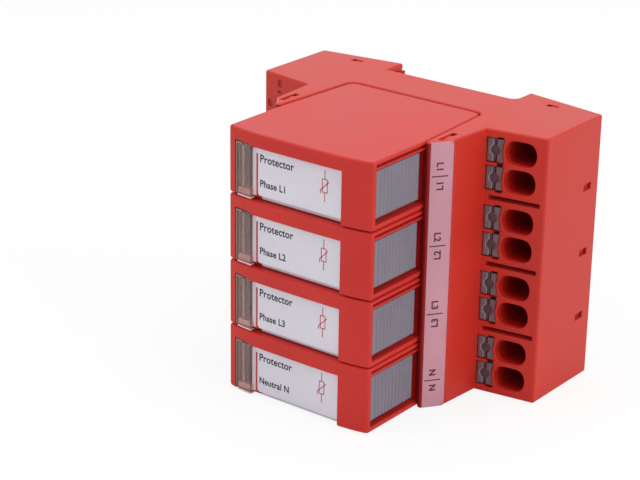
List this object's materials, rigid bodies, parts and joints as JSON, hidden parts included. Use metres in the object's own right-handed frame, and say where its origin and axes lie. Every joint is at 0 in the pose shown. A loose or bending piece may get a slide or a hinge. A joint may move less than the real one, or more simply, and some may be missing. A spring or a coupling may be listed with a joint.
{
  "type": "din rail surge arrester",
  "caption": "Red DIN rail surge arrester base with plug-in protection modules side by side, each with a status window, a label plate and ribbed release grips; push-in terminals at the sides.",
  "frame": {"origin": "centre of the bounding box, on the flat side wall that the unit stands on", "axes": "+Z along the rail, from the side wall it stands on to the other; +Y towards the rail; -Y towards the modules' fronts; +X towards the line terminals"},
  "size_m": [0.09, 0.0726, 0.072],
  "materials": {
    "housing_red": "fine satin",
    "shell_red": "fine satin",
    "cover_red": "fine satin",
    "plate_red": "fine satin",
    "grip_grey": "satin",
    "pusher_grey": "satin",
    "foot_black": "satin",
    "strip_mauve": "satin",
    "label_white": "smooth",
    "window_clear": "clear",
    "flag_green": "satin",
    "copper": "bare copper",
    "tinned_brass": "tin plated",
    "varistor_blue": "resin coating"
  },
  "bodies": {
    "base": {"base_housing": "housing_red", "rear_cover": "cover_red", "marking_strip_line": "strip_mauve", "marking_strip_earth": "strip_mauve", "earth_bar": "copper", "line_bar_1": "copper", "line_bar_2": "copper", "line_bar_3": "copper", "line_bar_4": "copper"},
    "rail_foot": {"rail_foot": "foot_black"},
    "line_pusher_1a": {"line_pusher_1a": "pusher_grey"},
    "line_pusher_1b": {"line_pusher_1b": "pusher_grey"},
    "line_pusher_2a": {"line_pusher_2a": "pusher_grey"},
    "line_pusher_2b": {"line_pusher_2b": "pusher_grey"},
    "line_pusher_3a": {"line_pusher_3a": "pusher_grey"},
    "line_pusher_3b": {"line_pusher_3b": "pusher_grey"},
    "line_pusher_4a": {"line_pusher_4a": "pusher_grey"},
    "line_pusher_4b": {"line_pusher_4b": "pusher_grey"},
    "earth_pusher_a": {"earth_pusher_a": "pusher_grey"},
    "earth_pusher_b": {"earth_pusher_b": "pusher_grey"},
    "module_1": {"module_1_shell": "shell_red", "module_1_plate": "plate_red", "module_1_window": "window_clear", "module_1_label": "label_white", "module_1_varistor": "varistor_blue", "module_1_blade_line": "tinned_brass", "module_1_blade_earth": "tinned_brass"},
    "module_2": {"module_2_shell": "shell_red", "module_2_plate": "plate_red", "module_2_window": "window_clear", "module_2_label": "label_white", "module_2_varistor": "varistor_blue", "module_2_blade_line": "tinned_brass", "module_2_blade_earth": "tinned_brass"},
    "module_3": {"module_3_shell": "shell_red", "module_3_plate": "plate_red", "module_3_window": "window_clear", "module_3_label": "label_white", "module_3_varistor": "varistor_blue", "module_3_blade_line": "tinned_brass", "module_3_blade_earth": "tinned_brass"},
    "module_4": {"module_4_shell": "shell_red", "module_4_plate": "plate_red", "module_4_window": "window_clear", "module_4_label": "label_white", "module_4_varistor": "varistor_blue", "module_4_blade_line": "tinned_brass", "module_4_blade_earth": "tinned_brass"},
    "grip_right_1": {"module_1_grip_right": "grip_grey"},
    "grip_left_1": {"module_1_grip_left": "grip_grey"},
    "grip_right_2": {"module_2_grip_right": "grip_grey"},
    "grip_left_2": {"module_2_grip_left": "grip_grey"},
    "grip_right_3": {"module_3_grip_right": "grip_grey"},
    "grip_left_3": {"module_3_grip_left": "grip_grey"},
    "grip_right_4": {"module_4_grip_right": "grip_grey"},
    "grip_left_4": {"module_4_grip_left": "grip_grey"},
    "flag_1": {"module_1_flag": "flag_green"},
    "flag_2": {"module_2_flag": "flag_green"},
    "flag_3": {"module_3_flag": "flag_green"},
    "flag_4": {"module_4_flag": "flag_green"}
  },
  "joints": [
    {"name": "module_1_pull", "type": "slide", "parent": "base", "child": "module_1", "axis": [0, -1, 0], "range_m": [0, 0.04]},
    {"name": "module_2_pull", "type": "slide", "parent": "base", "child": "module_2", "axis": [0, -1, 0], "range_m": [0, 0.04]},
    {"name": "module_3_pull", "type": "slide", "parent": "base", "child": "module_3", "axis": [0, -1, 0], "range_m": [0, 0.04]},
    {"name": "module_4_pull", "type": "slide", "parent": "base", "child": "module_4", "axis": [0, -1, 0], "range_m": [0, 0.04]},
    {"name": "rail_foot_draw", "type": "slide", "parent": "base", "child": "rail_foot", "axis": [1, 0, 0], "range_m": [0, 0.004], "stiffness_N_per_m": 500},
    {"name": "line_pusher_1a_press", "type": "slide", "parent": "base", "child": "line_pusher_1a", "axis": [0, 1, 0], "range_m": [0, 0.002], "stiffness_N_per_m": 400},
    {"name": "line_pusher_1b_press", "type": "slide", "parent": "base", "child": "line_pusher_1b", "axis": [0, 1, 0], "range_m": [0, 0.002], "stiffness_N_per_m": 400},
    {"name": "line_pusher_2a_press", "type": "slide", "parent": "base", "child": "line_pusher_2a", "axis": [0, 1, 0], "range_m": [0, 0.002], "stiffness_N_per_m": 400},
    {"name": "line_pusher_2b_press", "type": "slide", "parent": "base", "child": "line_pusher_2b", "axis": [0, 1, 0], "range_m": [0, 0.002], "stiffness_N_per_m": 400},
    {"name": "line_pusher_3a_press", "type": "slide", "parent": "base", "child": "line_pusher_3a", "axis": [0, 1, 0], "range_m": [0, 0.002], "stiffness_N_per_m": 400},
    {"name": "line_pusher_3b_press", "type": "slide", "parent": "base", "child": "line_pusher_3b", "axis": [0, 1, 0], "range_m": [0, 0.002], "stiffness_N_per_m": 400},
    {"name": "line_pusher_4a_press", "type": "slide", "parent": "base", "child": "line_pusher_4a", "axis": [0, 1, 0], "range_m": [0, 0.002], "stiffness_N_per_m": 400},
    {"name": "line_pusher_4b_press", "type": "slide", "parent": "base", "child": "line_pusher_4b", "axis": [0, 1, 0], "range_m": [0, 0.002], "stiffness_N_per_m": 400},
    {"name": "earth_pusher_a_press", "type": "slide", "parent": "base", "child": "earth_pusher_a", "axis": [0, 1, 0], "range_m": [0, 0.002], "stiffness_N_per_m": 400},
    {"name": "earth_pusher_b_press", "type": "slide", "parent": "base", "child": "earth_pusher_b", "axis": [0, 1, 0], "range_m": [0, 0.002], "stiffness_N_per_m": 400},
    {"name": "grip_right_1_press", "type": "slide", "parent": "module_1", "child": "grip_right_1", "axis": [-1, 0, 0], "range_m": [0, 0.001], "stiffness_N_per_m": 400},
    {"name": "grip_left_1_press", "type": "slide", "parent": "module_1", "child": "grip_left_1", "axis": [1, 0, 0], "range_m": [0, 0.001], "stiffness_N_per_m": 400},
    {"name": "grip_right_2_press", "type": "slide", "parent": "module_2", "child": "grip_right_2", "axis": [-1, 0, 0], "range_m": [0, 0.001], "stiffness_N_per_m": 400},
    {"name": "grip_left_2_press", "type": "slide", "parent": "module_2", "child": "grip_left_2", "axis": [1, 0, 0], "range_m": [0, 0.001], "stiffness_N_per_m": 400},
    {"name": "grip_right_3_press", "type": "slide", "parent": "module_3", "child": "grip_right_3", "axis": [-1, 0, 0], "range_m": [0, 0.001], "stiffness_N_per_m": 400},
    {"name": "grip_left_3_press", "type": "slide", "parent": "module_3", "child": "grip_left_3", "axis": [1, 0, 0], "range_m": [0, 0.001], "stiffness_N_per_m": 400},
    {"name": "grip_right_4_press", "type": "slide", "parent": "module_4", "child": "grip_right_4", "axis": [-1, 0, 0], "range_m": [0, 0.001], "stiffness_N_per_m": 400},
    {"name": "grip_left_4_press", "type": "slide", "parent": "module_4", "child": "grip_left_4", "axis": [1, 0, 0], "range_m": [0, 0.001], "stiffness_N_per_m": 400},
    {"name": "flag_1_shift", "type": "slide", "parent": "module_1", "child": "flag_1", "axis": [1, 0, 0], "range_m": [0, 0.0032]},
    {"name": "flag_2_shift", "type": "slide", "parent": "module_2", "child": "flag_2", "axis": [1, 0, 0], "range_m": [0, 0.0032]},
    {"name": "flag_3_shift", "type": "slide", "parent": "module_3", "child": "flag_3", "axis": [1, 0, 0], "range_m": [0, 0.0032]},
    {"name": "flag_4_shift", "type": "slide", "parent": "module_4", "child": "flag_4", "axis": [1, 0, 0], "range_m": [0, 0.0032]}
  ]
}
